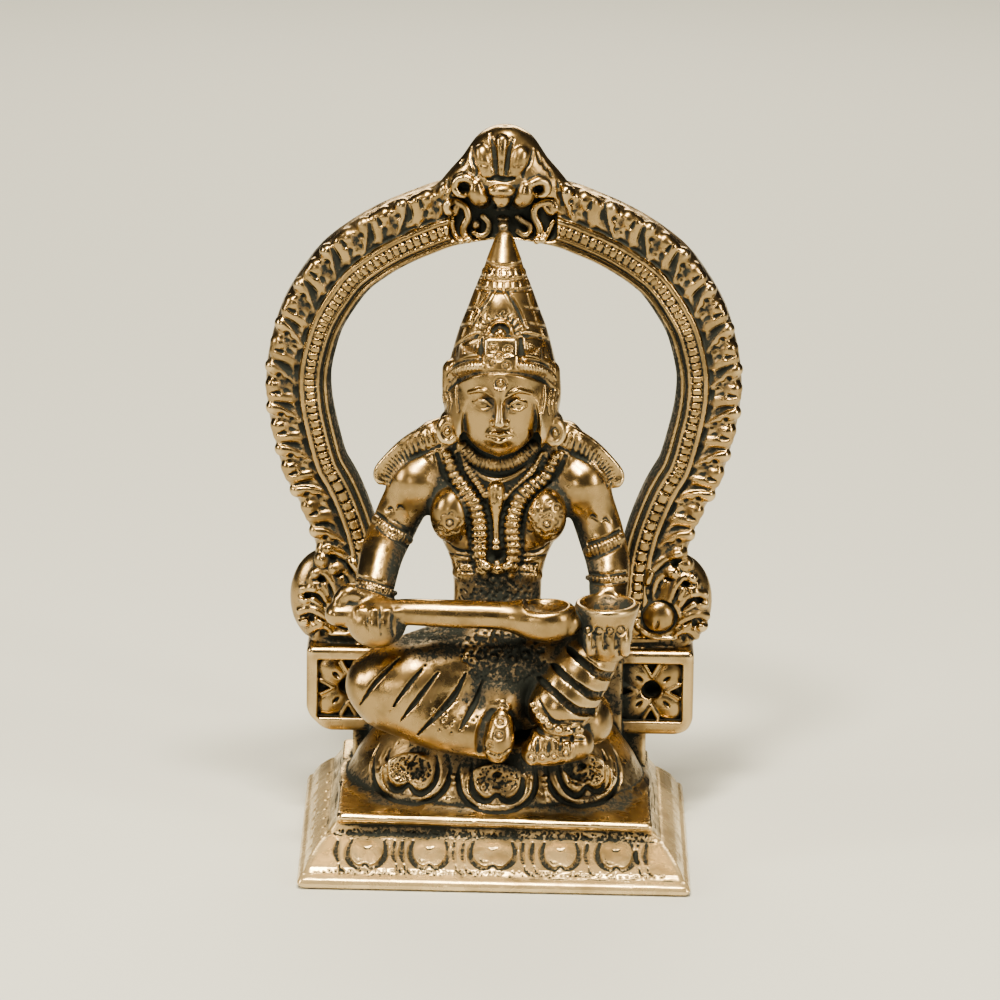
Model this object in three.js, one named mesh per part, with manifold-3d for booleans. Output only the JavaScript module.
// A seated goddess with a ladle and a bowl, cast in brass in one piece with her flower seat,
// her stepped plinth and the flame arch behind her. Lengths are millimetres, +Z is up,
// the front faces -Y, and the origin is the middle of the underside.
import * as THREE from "three";
import { mergeVertices } from "three/addons/utils/BufferGeometryUtils.js";
import Module from "manifold-3d";

const wasm = await Module();
wasm.setup();

// Plinth
const PLINTH_WIDTH = 82;
const PLINTH_DEPTH = 66;
const LIP_HEIGHT = 2.6;
const LIP_ROUNDING = 0.9;
const STEP_WIDTH = 66.4;
const STEP_HEIGHT = 11.5; // floor to the top of the step
const STEP_FRONT_MARGIN = 14; // how far the step stands back from the front of the foot
const STEP_BACK_MARGIN = 4;
const BAR_HEIGHT = 2.2; // the rounded bar along the front edge of the step
const NECK_HEIGHT = 2.6; // the hollow under the bar
const NECK_RECESS = 1.1;
const BAND_PETALS = 5; // petals on the sloping front band
const BAND_PETAL_PITCH = 12.9;
const BAND_PETAL_WIDTH = 10.4;
const BAND_PETAL_RELIEF = 0.9;

// Flower seat, an oval that narrows upwards
const SEAT_WIDTH = 64;
const SEAT_DEPTH = 45;
const SEAT_HEIGHT = 13.5;
const SEAT_TAPER = 7.2; // how far its side leans in from the foot to the top
const SEAT_Y = 7.5; // its centre, behind the middle of the plinth
const SEAT_PETAL_WIDTH = 15.2;
const SEAT_PETAL_HEIGHT = 11;
const SEAT_PETAL_RELIEF = 1.5;
const SEAT_PETAL_ANGLE = 36; // degrees round the seat between two petals
const SEAT_PETAL_RIM = 1.5;

// Figure
const FIGURE_HEIGHT = 106; // seat to the tip of the crown
const DRAWN_HEIGHT = 106; // the height at which the points of the figure are given

// Throne blocks and the wall between them
const BLOCK_WIDTH = 18.4;
const BLOCK_HEIGHT = 19.2;
const BLOCK_LIFT = 7; // step to the underside of a block
const BLOCK_DEPTH = 10.5;
const BLOCK_OVERHANG = 9.4; // how far a block reaches past the side of the step
const BLOCK_ROUNDING = 3;
const BLOCK_FRAME = 2.3;
const BLOCK_PANEL_DEPTH = 1.6;
const BLOCK_HOLE_RADIUS = 1.7;
const WALL_DEPTH = 11.5;

// Arch
const ARCH_WIDTH = 100.8;
const ARCH_Y = 18; // middle of its thickness
const ARCH_BACK = 3; // middle of the thickness to the flat back
const ARCH_CLEARANCE = 3.6; // how far the tip of the crown runs up past the inside of the arch
const LEAF_BAND = 7;
const FILLET_WIDTH = 1.1;
const FILLET_RELIEF = 3.6; // middle of the thickness to the face of the fillets
const BEAD_ROW = 2.3;
const INNER_MOULDING = 2.3;
const LEAF_PITCH = 5;
const LEAF_RELIEF = 2.2;
const LEAF_LEAN = 25; // degrees that a leaf leans towards the foot of the arch

// Mask on top of the arch and scrolls at its feet
const MASK_WIDTH = 24.4;
const MASK_HEIGHT = 23.5;
const MASK_DEPTH = 11;
const SCROLL_WIDTH = 15;
const SCROLL_HEIGHT = 22.5;
const SCROLL_BOSS_RADIUS = 3;

const FRONT = new THREE.Vector3(0, -1, 0);
const SIDE = new THREE.Vector3(1, 0, 0);
const MERGE_DISTANCE = 1e-4;
const CAST_TOLERANCE = 0.02; // edges shorter than this are closed up

const stepFront = -PLINTH_DEPTH / 2 + STEP_FRONT_MARGIN;
const stepBack = PLINTH_DEPTH / 2 - STEP_BACK_MARGIN;
const seatTop = STEP_HEIGHT + SEAT_HEIGHT;
const figureScale = FIGURE_HEIGHT / DRAWN_HEIGHT;
const crownTip = seatTop + FIGURE_HEIGHT;
const archBand = LEAF_BAND + 2 * FILLET_WIDTH + BEAD_ROW + INNER_MOULDING;
const archInnerTop = crownTip - ARCH_CLEARANCE;
const archOuterTop = archInnerTop + archBand;
const blockTop = STEP_HEIGHT + BLOCK_LIFT + BLOCK_HEIGHT;
const blockOuter = STEP_WIDTH / 2 + BLOCK_OVERHANG;
const blockX = blockOuter - BLOCK_WIDTH / 2;
const blockY = ARCH_Y + ARCH_BACK + 1.5 - BLOCK_DEPTH / 2;

// A closed mesh as a solid, turned the right way out.
function solid(geometry) {
  const plain = geometry.clone();
  plain.deleteAttribute("normal");
  plain.deleteAttribute("uv");
  const merged = mergeVertices(plain, MERGE_DISTANCE);
  const points = merged.attributes.position;
  const corners = merged.index.array;
  const a = new THREE.Vector3();
  const b = new THREE.Vector3();
  const c = new THREE.Vector3();
  let volume = 0;
  for (let i = 0; i < corners.length; i += 3) {
    a.fromBufferAttribute(points, corners[i]);
    b.fromBufferAttribute(points, corners[i + 1]);
    c.fromBufferAttribute(points, corners[i + 2]);
    volume += a.dot(b.cross(c));
  }
  const triangles = [];
  for (let i = 0; i < corners.length; i += 3) {
    const [first, second, third] = corners.slice(i, i + 3);
    if (first !== second && second !== third && third !== first) {
      triangles.push(first, ...(volume < 0 ? [third, second] : [second, third]));
    }
  }
  const mesh = new wasm.Mesh({
    numProp: 3,
    vertProperties: new Float32Array(points.array),
    triVerts: new Uint32Array(triangles),
    tolerance: CAST_TOLERANCE,
  });
  return new wasm.Manifold(mesh);
}

// One solid from the shapes that are added and the shapes that are cut away.
function cast(added, cut = []) {
  let body = wasm.Manifold.union(added.map(solid));
  if (cut.length > 0) {
    body = body.subtract(wasm.Manifold.union(cut.map(solid)));
  }
  return body;
}

function toGeometry(body) {
  const mesh = body.getMesh();
  const geometry = new THREE.BufferGeometry();
  geometry.setAttribute("position", new THREE.BufferAttribute(new Float32Array(mesh.vertProperties), 3));
  geometry.setIndex(new THREE.BufferAttribute(new Uint32Array(mesh.triVerts), 1));
  return geometry;
}

// A closed skin through rings of as many points each, with a fan over each end.
function loft(rings) {
  const sides = rings[0].length;
  const points = rings.flat();
  const triangles = [];
  for (let i = 0; i < rings.length - 1; i++) {
    for (let j = 0; j < sides; j++) {
      const here = i * sides + j;
      const next = i * sides + ((j + 1) % sides);
      triangles.push(here, next, next + sides, here, next + sides, here + sides);
    }
  }
  for (const end of [0, rings.length - 1]) {
    const middle = points.length;
    const centre = new THREE.Vector3();
    rings[end].forEach((point) => centre.addScaledVector(point, 1 / sides));
    points.push(centre);
    for (let j = 0; j < sides; j++) {
      const here = end * sides + j;
      const next = end * sides + ((j + 1) % sides);
      triangles.push(middle, ...(end === 0 ? [next, here] : [here, next]));
    }
  }
  const geometry = new THREE.BufferGeometry().setFromPoints(points);
  geometry.setIndex(triangles);
  return geometry;
}

// A rounded limb along a smooth line, with a radius for each of its points. Its thickness
// towards the front is flatten times its width.
function limb(places, radii, { sides = 7, steps = 3, flatten = 1, facing = FRONT, rounded = true } = {}) {
  const line = new THREE.CatmullRomCurve3(places.map((place) => new THREE.Vector3(...place)));
  const thickness = new THREE.SplineCurve(radii.map((radius, i) => new THREE.Vector2(i, radius)));
  const ring = (t, radius, shift) => {
    const along = line.getTangent(t);
    const across = along.clone().cross(facing).normalize();
    const out = across.clone().cross(along).normalize();
    const centre = line.getPoint(t).addScaledVector(along, shift);
    return Array.from({ length: sides }, (_, j) => {
      const angle = (j / sides) * 2 * Math.PI;
      const point = centre.clone().addScaledVector(across, radius * Math.cos(angle));
      return point.addScaledVector(out, radius * flatten * Math.sin(angle));
    });
  };
  const rings = Array.from({ length: steps + 1 }, (_, i) => ring(i / steps, thickness.getPoint(i / steps).y, 0));
  if (rounded) {
    const first = radii[0];
    const last = radii[radii.length - 1];
    rings.unshift(ring(0, first * 0.6, -first * 0.75));
    rings.push(ring(1, last * 0.6, last * 0.75));
  }
  return loft(rings);
}

function ellipsoid([x, y, z], [rx, ry, rz], { turn = [0, 0, 0], detail = 7 } = {}) {
  const geometry = new THREE.SphereGeometry(1, detail, Math.round(detail * 0.6));
  geometry.rotateX(Math.PI / 2);
  geometry.scale(rx, ry, rz);
  const angles = turn.map((degrees) => THREE.MathUtils.degToRad(degrees));
  geometry.applyMatrix4(new THREE.Matrix4().makeRotationFromEuler(new THREE.Euler(...angles)));
  return geometry.translate(x, y, z);
}

function box([x, y, z], [width, depth, height]) {
  return new THREE.BoxGeometry(width, depth, height).translate(x, y, z);
}

// A turned body about a vertical line, from its profile of radius and height.
function turned(profile, sides) {
  const points = profile.map(([radius, height]) => new THREE.Vector2(radius, height));
  return new THREE.LatheGeometry(points, sides).rotateX(Math.PI / 2);
}

// A flat shape drawn as seen from the front, raised towards the front from a plane behind it.
function plate(shape, thickness, curveSegments = 5) {
  const geometry = new THREE.ExtrudeGeometry(shape, { depth: thickness, bevelEnabled: false, curveSegments });
  return geometry.rotateX(Math.PI / 2);
}

// A lotus petal that hangs with its notched tip down, about its own middle.
function petalShape(width, height) {
  const half = width / 2;
  const shape = new THREE.Shape();
  shape.moveTo(-half * 0.8, height / 2);
  shape.bezierCurveTo(-half * 1.1, height * 0.2, -half * 1.1, -height * 0.5, -half * 0.45, -height / 2);
  shape.quadraticCurveTo(-half * 0.15, -height * 0.52, 0, -height * 0.4);
  shape.quadraticCurveTo(half * 0.15, -height * 0.52, half * 0.45, -height / 2);
  shape.bezierCurveTo(half * 1.1, -height * 0.5, half * 1.1, height * 0.2, half * 0.8, height / 2);
  shape.closePath();
  return shape;
}

// One rectangular level of the plinth, with its corners cut off by a small bevel.
function level(z, halfWidth, front, back, bevel) {
  const corners = [
    [halfWidth - bevel, front],
    [halfWidth, front + bevel],
    [halfWidth, back - bevel],
    [halfWidth - bevel, back],
    [-halfWidth + bevel, back],
    [-halfWidth, back - bevel],
    [-halfWidth, front + bevel],
    [-halfWidth + bevel, front],
  ];
  return corners.map(([x, y]) => new THREE.Vector3(x, y, z));
}

function plinth() {
  const half = PLINTH_WIDTH / 2;
  const front = -PLINTH_DEPTH / 2;
  const back = PLINTH_DEPTH / 2;
  const stepHalf = STEP_WIDTH / 2;
  const neckTop = STEP_HEIGHT - BAR_HEIGHT;
  const bandTop = neckTop - NECK_HEIGHT;
  const groove = 0.7;
  const sideTop = stepHalf + 2;
  const levels = [
    level(0, half - LIP_ROUNDING, front + LIP_ROUNDING, back - LIP_ROUNDING, 1.2),
    level(LIP_ROUNDING, half, front, back, 1.5),
    level(LIP_HEIGHT - LIP_ROUNDING, half, front, back, 1.5),
    level(LIP_HEIGHT, half - LIP_ROUNDING, front + LIP_ROUNDING, back - LIP_ROUNDING, 1.2),
    level(LIP_HEIGHT + 0.1, half - LIP_ROUNDING - 0.2, front + LIP_ROUNDING + groove, back - LIP_ROUNDING - 0.2, 1),
    level((LIP_HEIGHT + bandTop) / 2 + 0.3, (half + sideTop) / 2, front + 6.4, back - 1.5, 0.8),
    level(bandTop, sideTop, stepFront - 0.6, back - 2.6, 0.6),
    level(bandTop + 0.2, sideTop - 0.3, stepFront + NECK_RECESS, back - 2.8, 0.6),
    level(neckTop - 0.1, stepHalf, stepFront + NECK_RECESS, stepBack, 0.6),
    level(neckTop, stepHalf, stepFront + 0.3, stepBack, 0.6),
    level(neckTop + 0.7, stepHalf, stepFront, stepBack, 0.6),
    level(STEP_HEIGHT - 0.6, stepHalf, stepFront, stepBack, 0.6),
    level(STEP_HEIGHT, stepHalf - 0.6, stepFront + 0.6, stepBack - 0.6, 0.5),
  ];
  return cast([loft(levels), ...bandPetals(bandTop)]);
}

// The petals on the sloping front band.
function bandPetals(bandTop) {
  const front = -PLINTH_DEPTH / 2 + LIP_ROUNDING;
  const run = stepFront - front;
  const rise = bandTop - LIP_HEIGHT;
  const slope = Math.atan2(run, rise);
  const length = Math.hypot(run, rise) * 0.86;
  const petals = [];
  for (let i = 0; i < BAND_PETALS; i++) {
    const x = (i - (BAND_PETALS - 1) / 2) * BAND_PETAL_PITCH;
    const petal = plate(petalShape(BAND_PETAL_WIDTH, length), BAND_PETAL_RELIEF + 2, 2);
    petal.translate(0, 1, 0);
    petal.rotateX(-slope);
    petals.push(petal.translate(x, front + run * 0.53, LIP_HEIGHT + rise * 0.75));
  }
  return petals;
}

// The oval seat with three drooping petals on its front and a small point between each two.
function seat() {
  const radius = SEAT_WIDTH / 2;
  const body = turned([
    [0, -0.5],
    [radius - 0.6, -0.5],
    [radius, 0.8],
    [radius - SEAT_TAPER * 0.42, SEAT_HEIGHT * 0.42],
    [radius - SEAT_TAPER, SEAT_HEIGHT - 2],
    [radius - SEAT_TAPER - 2, SEAT_HEIGHT],
    [0, SEAT_HEIGHT],
  ], 18);
  const oval = SEAT_DEPTH / SEAT_WIDTH;
  body.scale(1, oval, 1);
  const added = [body];
  const cut = [];
  const onSide = (petal, degrees, height) => {
    const lean = Math.atan2(SEAT_TAPER, SEAT_HEIGHT);
    const angle = THREE.MathUtils.degToRad(degrees);
    const reach = radius - (SEAT_TAPER * height) / SEAT_HEIGHT;
    const facing = Math.atan2(Math.sin(angle) * oval, Math.cos(angle));
    petal.rotateX(-lean);
    petal.rotateZ(facing);
    petal.translate(reach * Math.sin(angle), -reach * oval * Math.cos(angle), height);
    return petal;
  };
  const middle = SEAT_HEIGHT * 0.45;
  for (const step of [-1, 0, 1]) {
    const degrees = step * SEAT_PETAL_ANGLE;
    const inner = [SEAT_PETAL_WIDTH - 2 * SEAT_PETAL_RIM, SEAT_PETAL_HEIGHT - 2 * SEAT_PETAL_RIM];
    const heart = [inner[0] - SEAT_PETAL_RIM, inner[1] - SEAT_PETAL_RIM];
    const outer = plate(petalShape(SEAT_PETAL_WIDTH, SEAT_PETAL_HEIGHT), SEAT_PETAL_RELIEF + 2, 2);
    added.push(onSide(outer.translate(0, 2, 0), degrees, middle));
    const hollow = plate(petalShape(...inner), 2, 2).translate(0, 1.3 - SEAT_PETAL_RELIEF, 0.4);
    cut.push(onSide(hollow, degrees, middle));
    added.push(onSide(ellipsoid([0, 0.4, 0.6], [heart[0] / 2, 1.6, heart[1] / 2], { detail: 6 }), degrees, middle));
  }
  for (const step of [-0.5, 0.5]) {
    const point = new THREE.OctahedronGeometry(1).scale(2, 1.5, 2.6);
    added.push(onSide(point, step * SEAT_PETAL_ANGLE, SEAT_HEIGHT * 0.24));
  }
  const place = (geometry) => geometry.translate(0, SEAT_Y, STEP_HEIGHT);
  // The hearts stay proud of the hollows, so they are joined after the cut.
  const hearts = added.filter((_, i) => i % 2 === 0 && i > 0 && i < 7);
  const rest = added.filter((geometry) => !hearts.includes(geometry));
  return cast(rest.map(place), cut.map(place)).add(cast(hearts.map(place)));
}

// Figure points are given from the top of the seat, at DRAWN_HEIGHT.
function torso() {
  // Height, half width, half depth and how far back the middle is.
  const sections = [
    [12, 12.6, 9, 0.2],
    [23, 10.6, 8, 1.3],
    [30, 9.2, 7, 2],
    [37, 10.2, 7.2, 2],
    [43, 13.4, 8, 2.2],
    [49, 15.4, 8, 2.6],
    [54, 15.5, 7.2, 3],
    [58, 13, 6.2, 3],
    [62, 7.4, 5.2, 2.5],
  ];
  const sides = 10;
  const rings = sections.map(([z, halfWidth, halfDepth, y]) =>
    Array.from({ length: sides }, (_, j) => {
      const angle = (j / sides) * 2 * Math.PI;
      return new THREE.Vector3(halfWidth * Math.cos(angle), y + halfDepth * Math.sin(angle), z);
    }),
  );
  const parts = [loft(rings)];
  parts.push(ellipsoid([0, -1, 11.5], [19, 14, 13], { detail: 8 }));
  parts.push(ellipsoid([-1, -6.5, 17], [13, 9.5, 9], { detail: 8 }));
  for (const side of [-1, 1]) {
    parts.push(ellipsoid([side * 10.1, -3.2, 46.4], [4.7, 4.6, 5.4]));
    parts.push(ellipsoid([side * 17.4, 3, 54], [6.2, 5.8, 6], { detail: 6 }));
  }
  return parts;
}

// Necklaces, the long garland and the ribbed bands on the shoulders.
function jewellery() {
  const choker = [[-8, -1, 63.5], [-4.4, -5, 62], [0, -6.2, 60.8], [4.4, -5, 62], [8, -1, 63.5]];
  const chain = [[-7.5, -3, 63], [-4, -5.4, 59.5], [-0.2, -6.6, 56.4], [3.4, -5.4, 59.5], [8, -3, 63]];
  const garland = [
    [-9.9, -3.2, 63.5],
    [-7.4, -5, 58.6],
    [-3.8, -6.4, 53.5],
    [-3, -6.6, 46],
    [-2.6, -6.2, 40.5],
    [0.8, -6.4, 36.6],
    [4.2, -6.2, 40.5],
    [4.8, -6.6, 46],
    [6.6, -6.4, 53.5],
    [9.6, -5, 58.6],
    [11.6, -3.2, 63.5],
  ];
  const parts = [
    limb(choker, [1.2, 1.4, 1.4, 1.4, 1.2], { sides: 4, rounded: false }),
    limb(chain, [0.8, 0.9, 1, 0.9, 0.8], { sides: 3, rounded: false }),
    limb(garland, garland.map(() => 1.6), { sides: 5, steps: 11 }),
  ];
  for (const side of [-1, 1]) {
    const band = [[11.4, 1, 64.4], [18, 1, 60.3], [24, 1, 54.8], [24.2, 0.5, 51.6]];
    const path = band.map(([x, y, z]) => [side * x, y, z]);
    parts.push(limb(path, [1.6, 1.9, 1.8, 1.2], { sides: 6, flatten: 1.7 }));
  }
  return parts;
}

// A ring of cloth or metal round a limb.
function cuff(middle, direction, radius, width) {
  const along = new THREE.Vector3(...direction).normalize().multiplyScalar(width / 2);
  const centre = new THREE.Vector3(...middle);
  const ends = [centre.clone().sub(along), centre, centre.clone().add(along)];
  const radii = [radius * 0.92, radius, radius * 0.92];
  return limb(ends.map((end) => end.toArray()), radii, { steps: 2, rounded: false });
}

function arms() {
  const right = [[-17.2, 3, 53.8], [-20.2, 4, 47], [-21.8, 3, 43], [-23.8, -3.5, 39.3], [-24.8, -12.6, 31]];
  const left = [[17.6, 3, 53.8], [20.2, 4, 46.5], [21.6, 2.5, 42], [23.2, -4, 37.8], [23.6, -12, 29]];
  const thickness = [5.6, 5.1, 4.8, 4.4, 3.6];
  const parts = [
    limb(right, thickness, { steps: 4, facing: SIDE, rounded: false }),
    limb(left, thickness, { steps: 4, facing: SIDE, rounded: false }),
    cuff([-20.9, 3.8, 45.2], [-0.25, 0, -1], 5.6, 2.2),
    cuff([21.3, 3.2, 42.6], [0.3, -0.4, -1], 5.5, 2.6),
    // The right fist with its thumb, and the left hand under the bowl.
    ellipsoid([-24.5, -15, 28.8], [6, 4.8, 4.8]),
    limb([[-30.6, -14, 34.6], [-28.6, -13.4, 32.4]], [2, 1.7], { sides: 5, steps: 1 }),
    ellipsoid([23.4, -13.5, 26], [5.2, 5, 4], { detail: 6 }),
  ];
  for (let i = 0; i < 4; i++) {
    const x = -28.7 + 2.75 * i;
    parts.push(ellipsoid([x, -18.2, 28.8], [1.5, 2.2, 4.2], { detail: 5 }));
  }
  for (let i = 0; i < 4; i++) {
    const x = 19.6 + 2.5 * i;
    parts.push(ellipsoid([x, -17.6, 25.9], [1.35, 1.8, 3.3], { detail: 5 }));
  }
  return parts;
}

function legs() {
  const parts = [
    // Right leg, folded flat in front: thigh, then shin below it.
    limb([[-3, -1, 15], [-15, -6, 13.5], [-25.5, -8, 14.2]], [12.5, 11.8, 6.5], { sides: 9, steps: 3 }),
    limb([[-24, -10, 10.5], [-12, -13.5, 6.5], [1, -15, 3.5]], [5.5, 5.6, 4.4]),
    // Left leg, bent, with the foot set down in front of the seat.
    limb([[4, -1, 15], [13, -6, 17], [19.5, -9, 19]], [11.5, 9, 6.8], { sides: 8, steps: 2 }),
    ellipsoid([12.5, -16, 3.8], [7.4, 7, 4]),
    ellipsoid([20.3, -9.5, 6.4], [3.8, 6.5, 6], { detail: 6 }),
    limb([[7, -17, 12], [8.6, -20.3, 8.6], [12.3, -21.6, 6], [16.8, -20, 5.4]], [1, 1, 1, 1], { sides: 4 }),
    // The end of the robe that hangs over the front of the seat.
    limb([[0.2, -16, 11.5], [0.5, -20, 6], [0.8, -21.4, 2.2]], [2.2, 3, 3.1], { sides: 6, steps: 2, flatten: 0.7 }),
  ];
  for (let i = 0; i < 5; i++) {
    const x = 7.3 + 2.4 * i;
    parts.push(ellipsoid([x, -20.6, 2.9], [1.3, 2.6, 1.8], { turn: [35, 0, 0], detail: 5 }));
  }
  // The robe lies round the left shin in four swelling folds.
  const shin = new THREE.CatmullRomCurve3([
    new THREE.Vector3(20, -10.5, 20.5),
    new THREE.Vector3(16.5, -14.5, 13.5),
    new THREE.Vector3(11.5, -17, 6.5),
  ]);
  const folds = 4;
  for (let i = 0; i < folds; i++) {
    const middle = shin.getPoint((i + 0.5) / folds);
    const along = shin.getTangent((i + 0.5) / folds).multiplyScalar((shin.getLength() / folds) * 0.42);
    const ends = [middle.clone().sub(along), middle, middle.clone().add(along)];
    const radius = 7.2 - 0.45 * i;
    const radii = [radius * 0.86, radius, radius * 0.86];
    parts.push(limb(ends.map((end) => end.toArray()), radii, { sides: 7, steps: 2, rounded: false }));
  }
  return parts;
}

// The slanting slashes that mark the folds of the robe on the right thigh.
function thighSlashes() {
  const slashes = [[-26.5, 17, -29.6, 8.4], [-21, 17.6, -25.2, 6.6], [-17, 16, -22.6, 4.8], [-12.6, 15, -18.4, 2.2]];
  const cuts = slashes.map(([x1, z1, x2, z2]) => {
    const depth = (x) => -17.6 + Math.max(0, -17 - x) * 0.55;
    const middle = [(x1 + x2) / 2, depth((x1 + x2) / 2) - 1, (z1 + z2) / 2];
    return limb([[x1, depth(x1), z1], middle, [x2, depth(x2) + 1, z2]], [0.5, 0.9, 0.4], { sides: 4, steps: 3 });
  });
  cuts.push(limb([[-7.6, -17, 15.4], [-10, -18.2, 9.5], [-13.4, -18.6, 3]], [0.5, 0.9, 0.4], { sides: 4, steps: 3 }));
  return cuts;
}

function head() {
  const hairline = 77;
  const chin = 61.4;
  const third = (hairline - chin) / 3;
  const brow = hairline - third;
  const noseFoot = brow - third;
  const mouth = noseFoot - third / 3;
  const parts = [
    limb([[0, 2.5, 57], [0, 0.5, 66]], [5.2, 4.8], { steps: 1, rounded: false }),
    ellipsoid([0, -1, 70], [8.7, 8.3, 9.3], { detail: 10 }),
    ellipsoid([0, -4.6, chin + 2.6], [3.4, 3.2, 2.7], { detail: 6 }),
    limb([[0, -8.6, brow - 0.6], [0, -9.6, noseFoot + 0.9]], [0.6, 1.1], { sides: 5, steps: 1 }),
    ellipsoid([0, -8.1, mouth + 0.45], [2.3, 1, 0.6], { detail: 6 }),
    ellipsoid([0, -8, mouth - 0.5], [1.9, 1.1, 0.6], { detail: 6 }),
  ];
  for (const side of [-1, 1]) {
    parts.push(ellipsoid([side * 3.3, -7.9, brow - 1.5], [1.9, 0.9, 0.8], { detail: 5 }));
    parts.push(ellipsoid([side * 9.2, 1.5, 71.2], [2.9, 5, 7], { detail: 6 }));
    const earring = new THREE.TorusGeometry(1.9, 0.95, 4, 6).rotateX(Math.PI / 2);
    parts.push(earring.scale(1, 1.3, 1.25).translate(side * 10.9, -1.6, 65.6));
  }
  return parts;
}

// The tall crown leans back until its tip meets the arch.
function crown() {
  const tipBack = 12.5;
  const footBack = 1;
  const foot = 72;
  const height = DRAWN_HEIGHT - foot;
  const length = Math.hypot(tipBack - footBack, height);
  const cone = turned([
    [0, 0],
    [11.2, 0],
    [12.1, 1.6],
    [12, 5],
    [11.2, 8],
    [8, 17],
    [7.4, 17.3],
    [7.2, 19.8],
    [6.3, 20.2],
    [5.8, 22.9],
    [4.9, 23.3],
    [4.8, 25.4],
    [4.1, 25.8],
    [1.2, length],
    [0, length],
  ], 10);
  cone.scale(1, 0.85, 1);
  cone.rotateX(-Math.atan2(tipBack - footBack, height));
  cone.translate(0, footBack, foot);
  const band = [[-10.8, 1, 72.3], [-7.6, -5.6, 76], [0, -9.2, 78.2], [7.6, -5.6, 76], [10.8, 1, 72.3]];
  const arcade = [[-3, 1.3, 87.6], [0, 1.6, 92.4], [3, 1.3, 87.6]];
  const plaque = box([0, 0, 0], [7.6, 3, 6.2]).rotateX(-0.7).translate(0.3, -3.2, 83.4);
  return [
    cone,
    plaque,
    limb(band, [1.2, 1.4, 1.5, 1.4, 1.2], { sides: 4, steps: 4, rounded: false }),
    box([0, tipBack + 1.6, DRAWN_HEIGHT + 0.6], [2.6, 5, 3]),
    limb(arcade, [0.8, 0.9, 0.8], { sides: 4, rounded: false }),
  ];
}

// The ladle in the right hand, its bowl hollowed a little.
function ladle() {
  const handle = [[-35, -15, 30.1], [-18, -16, 30.6], [-8, -16.3, 30.5], [1, -16.1, 30.4], [7, -16, 29.6]];
  const added = [
    limb(handle, [2.2, 2.7, 2.7, 2.4, 2.6]),
    ellipsoid([10.2, -16, 30.8], [5.8, 4.8, 6.2], { detail: 9 }),
  ];
  const cut = [
    ellipsoid([10.2, -16, 34], [4.9, 3.9, 3.4], { detail: 9 }),
    box([10.2, -16, 36.2], [16, 14, 6.4]),
  ];
  return cast(added.map(placeFigure), cut.map(placeFigure));
}

function handBowl() {
  const bowl = turned([[0, 22.6], [3.4, 22.6], [4.7, 26], [5.2, 29], [6.2, 32.6], [5.1, 32.6], [4.2, 30.8], [0, 30.4]], 10);
  return cast([placeFigure(bowl.translate(23.2, -14, 0))]);
}

function placeFigure(geometry) {
  return geometry.scale(figureScale, figureScale, figureScale).translate(0, 0, seatTop);
}

function figure() {
  const added = [...torso(), ...jewellery(), ...arms(), ...legs(), ...head(), ...crown()];
  return cast(added.map(placeFigure), thighSlashes().map(placeFigure)).add(ladle()).add(handBowl());
}

// The outside line of the arch as shares of its half width, and of its height over the blocks.
function archOutline() {
  const shares = [
    [0.755, -0.02],
    [0.765, 0.12],
    [0.785, 0.205],
    [0.845, 0.29],
    [0.915, 0.355],
    [0.96, 0.43],
    [0.993, 0.51],
    [1, 0.583],
    [0.978, 0.653],
    [0.93, 0.728],
    [0.852, 0.795],
    [0.765, 0.85],
    [0.66, 0.892],
    [0.54, 0.928],
    [0.41, 0.957],
    [0.25, 0.984],
    [0, 1],
  ];
  const half = ARCH_WIDTH / 2;
  const height = archOuterTop - blockTop;
  const right = shares.map(([across, up]) => new THREE.Vector3(across * half, ARCH_Y, blockTop + up * height));
  const left = right.slice(0, -1).map((point) => new THREE.Vector3(-point.x, point.y, point.z));
  return new THREE.CatmullRomCurve3([...left, ...right.reverse()], false, "centripetal");
}

// Where a point of the arch is: along its outline, in from its edge, and forward of its middle.
function archPlace(outline, along, inward, forward) {
  const tangent = outline.getTangentAt(along);
  const inside = new THREE.Vector3(tangent.z, 0, -tangent.x);
  return outline.getPointAt(along).addScaledVector(inside, inward).addScaledVector(FRONT, forward);
}

function arch() {
  const outline = archOutline();
  const firstFillet = LEAF_BAND;
  const beadRow = firstFillet + FILLET_WIDTH;
  const secondFillet = beadRow + BEAD_ROW;
  const moulding = secondFillet + FILLET_WIDTH;
  const section = [
    [0, -ARCH_BACK + 1],
    [0, 1.4],
    [1.6, 2.4],
    [firstFillet - 0.2, 2.4],
    [firstFillet, FILLET_RELIEF],
    [beadRow, FILLET_RELIEF],
    [(beadRow + secondFillet) / 2, FILLET_RELIEF - 1.1],
    [secondFillet, FILLET_RELIEF],
    [moulding, FILLET_RELIEF],
    [archBand, 1],
    [archBand, -ARCH_BACK],
    [1, -ARCH_BACK],
  ];
  const stations = 28;
  const rings = Array.from({ length: stations + 1 }, (_, i) =>
    section.map(([inward, forward]) => archPlace(outline, i / stations, inward, forward)),
  );
  return cast([loft(rings), ...leaves(outline)]);
}

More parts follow.
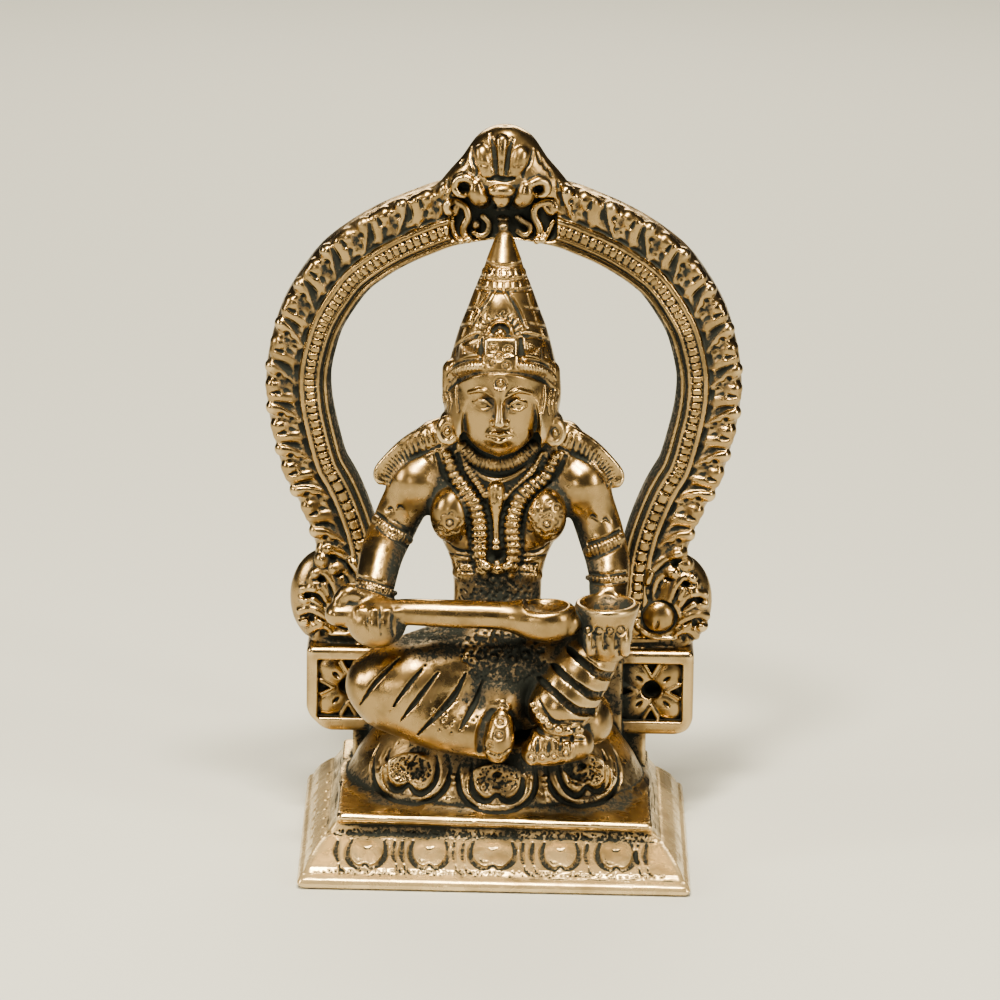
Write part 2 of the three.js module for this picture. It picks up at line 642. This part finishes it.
// Flame leaves along the outer band, each a ridge that leans towards the foot of the arch.
function leaves(outline) {
  const length = outline.getLength();
  const count = 2 * Math.floor((length / 2 - MASK_WIDTH / 2 - SCROLL_HEIGHT) / LEAF_PITCH);
  const start = SCROLL_HEIGHT / length;
  const step = (0.5 - start - MASK_WIDTH / 2 / length) / (count / 2);
  const shapes = [];
  for (let i = 0; i < count; i++) {
    const side = i < count / 2 ? 1 : -1;
    const share = start + ((i % (count / 2)) + 0.5) * step;
    const along = side > 0 ? share : 1 - share;
    const tangent = outline.getTangentAt(along);
    const heading = THREE.MathUtils.radToDeg(Math.atan2(tangent.z, tangent.x));
    const leaf = new THREE.OctahedronGeometry(1).scale(LEAF_PITCH * 0.36, LEAF_RELIEF, LEAF_BAND * 0.5);
    leaf.rotateY(THREE.MathUtils.degToRad(-heading - side * LEAF_LEAN));
    shapes.push(leaf.translate(...archPlace(outline, along, LEAF_BAND * 0.5, 1.9).toArray()));
  }
  return shapes;
}

// The lion mask that crowns the arch, with curls at its sides and scrolls below its chin.
function mask() {
  const half = MASK_WIDTH / 2;
  const foot = archInnerTop + 0.8;
  const top = foot + MASK_HEIGHT;
  const front = ARCH_Y - MASK_DEPTH / 2;
  const at = (x, forward, up) => [x * half, front + forward, foot + up * MASK_HEIGHT];
  const parts = [
    ellipsoid([0, ARCH_Y, foot + MASK_HEIGHT * 0.52], [half, MASK_DEPTH / 2, MASK_HEIGHT * 0.36], { detail: 8 }),
    ellipsoid([0, ARCH_Y, top - MASK_HEIGHT * 0.34], [half * 0.62, MASK_DEPTH / 2 - 0.6, MASK_HEIGHT * 0.34]),
    limb([at(0.04, 0.6, 0.83), at(0.02, -0.6, 0.6), at(0, -0.8, 0.5)], [1.1, 0.8, 0.6], { sides: 5, steps: 2 }),
    ellipsoid(at(0.03, -0.4, 0.4), [2.6, 1.8, 2.1], { turn: [20, 0, 0], detail: 5 }),
    limb([at(0, 1, 0.3), at(0, 2, 0.16)], [1.8, 1.3], { sides: 5, steps: 1 }),
  ];
  for (const side of [-1, 1]) {
    parts.push(ellipsoid(at(side * 0.3, 0.4, 0.64), [2.1, 2, 3.7], { turn: [0, side * 8, 0], detail: 5 }));
    parts.push(ellipsoid(at(side * 0.37, 0.6, 0.42), [2.3, 2, 2.7], { turn: [0, -side * 20, 0], detail: 5 }));
    const horn = [at(side * 0.72, 1.4, 0.62), at(side * 0.9, 1.6, 0.5), at(side * 0.74, 1, 0.41)];
    parts.push(limb(horn, [1.5, 1.3, 0.8], { sides: 4 }));
    const curl = [
      at(side * 0.72, 1.6, 0.24),
      at(side * 0.88, 1.2, 0.26),
      at(side * 0.84, 1.2, 0.36),
      at(side * 0.6, 1.2, 0.32),
      at(side * 0.56, 1.4, 0.16),
      at(side * 0.5, 1.8, 0.04),
    ];
    parts.push(limb(curl, [1, 0.9, 0.9, 1, 1, 0.9], { sides: 3, steps: 6, rounded: false }));
  }
  return cast(parts);
}

// The leafy scroll at each foot of the arch, with a round boss and curls round its edge.
function scroll(side) {
  const x = side * (ARCH_WIDTH / 2 - SCROLL_WIDTH / 2 - 5);
  const z = blockTop + SCROLL_HEIGHT * 0.44;
  const halfWidth = SCROLL_WIDTH / 2;
  const halfHeight = SCROLL_HEIGHT / 2;
  const parts = [
    ellipsoid([x, ARCH_Y, z], [halfWidth, 4, halfHeight], { detail: 8 }),
    ellipsoid([x - side * 3, ARCH_Y - 3.8, z - 1.6], [SCROLL_BOSS_RADIUS, 2.4, SCROLL_BOSS_RADIUS]),
  ];
  const curls = 5;
  for (let i = 0; i < curls; i++) {
    const angle = THREE.MathUtils.degToRad(-50 + 34 * i);
    const reach = [Math.cos(angle), Math.sin(angle)];
    const curl = [x + side * halfWidth * 0.72 * reach[0], ARCH_Y - 2.8, z + halfHeight * 0.78 * reach[1]];
    parts.push(ellipsoid(curl, [1.9, 1.9, 1.9], { detail: 5 }));
  }
  return cast(parts);
}

// A throne block: a frame round a sunk panel with a four-petalled flower and a deep hole.
function block(side) {
  const halfWidth = BLOCK_WIDTH / 2;
  const halfHeight = BLOCK_HEIGHT / 2;
  const shape = new THREE.Shape();
  shape.moveTo(-side * halfWidth, halfHeight);
  shape.lineTo(side * (halfWidth - 1), halfHeight);
  shape.lineTo(side * halfWidth, halfHeight - 1);
  shape.lineTo(side * halfWidth, -halfHeight + BLOCK_ROUNDING);
  shape.quadraticCurveTo(side * halfWidth, -halfHeight, side * (halfWidth - BLOCK_ROUNDING), -halfHeight);
  shape.lineTo(-side * halfWidth, -halfHeight);
  shape.closePath();
  const place = (geometry) => geometry.translate(side * blockX, blockY, blockTop - halfHeight);
  const body = plate(shape, BLOCK_DEPTH, 3).translate(0, BLOCK_DEPTH / 2, 0);
  const face = -BLOCK_DEPTH / 2;
  const panel = box([0, face, 0], [BLOCK_WIDTH - 2 * BLOCK_FRAME, 2 * BLOCK_PANEL_DEPTH, BLOCK_HEIGHT - 2 * BLOCK_FRAME]);
  const flower = [];
  const reach = (BLOCK_WIDTH - 2 * BLOCK_FRAME) / 4;
  for (const across of [-1, 1]) {
    for (const up of [-1, 1]) {
      const middle = [across * reach * 1.02, face + BLOCK_PANEL_DEPTH, up * reach * 1.1];
      flower.push(ellipsoid(middle, [3.6, 1.5, 2.7], { turn: [0, -across * up * 45, 0] }));
    }
  }
  const hole = new THREE.CylinderGeometry(BLOCK_HOLE_RADIUS, BLOCK_HOLE_RADIUS * 0.7, 5, 7).translate(0, face + 1, 0);
  return cast([body].map(place), [panel].map(place)).add(cast(flower.map(place))).subtract(cast([place(hole)]));
}

// The plain wall that ties the blocks, the seat and the back of the figure together.
function wall() {
  const width = 2 * (blockX - BLOCK_WIDTH / 2) + 6;
  const height = blockTop - STEP_HEIGHT - 1.5;
  const y = blockY + BLOCK_DEPTH / 2 - 0.6 - WALL_DEPTH / 2;
  return cast([
    box([0, y, STEP_HEIGHT + height / 2 - 0.5], [width, WALL_DEPTH, height + 1]),
    box([0, y + 2, STEP_HEIGHT + BLOCK_LIFT / 2], [STEP_WIDTH - 1, WALL_DEPTH - 4, BLOCK_LIFT + 3]),
  ]);
}

function castingGeometry() {
  const parts = [plinth(), seat(), figure(), wall(), arch(), mask()];
  for (const side of [-1, 1]) {
    parts.push(block(side), scroll(side));
  }
  return toGeometry(wasm.Manifold.union(parts));
}

const brass = new THREE.MeshStandardMaterial({ color: 0xb08d4f, roughness: 0.35, metalness: 1 });
const casting = new THREE.Mesh(castingGeometry(), brass);
casting.name = "goddess_with_arch_and_plinth";

const model = new THREE.Group();
model.add(casting);

export default model;
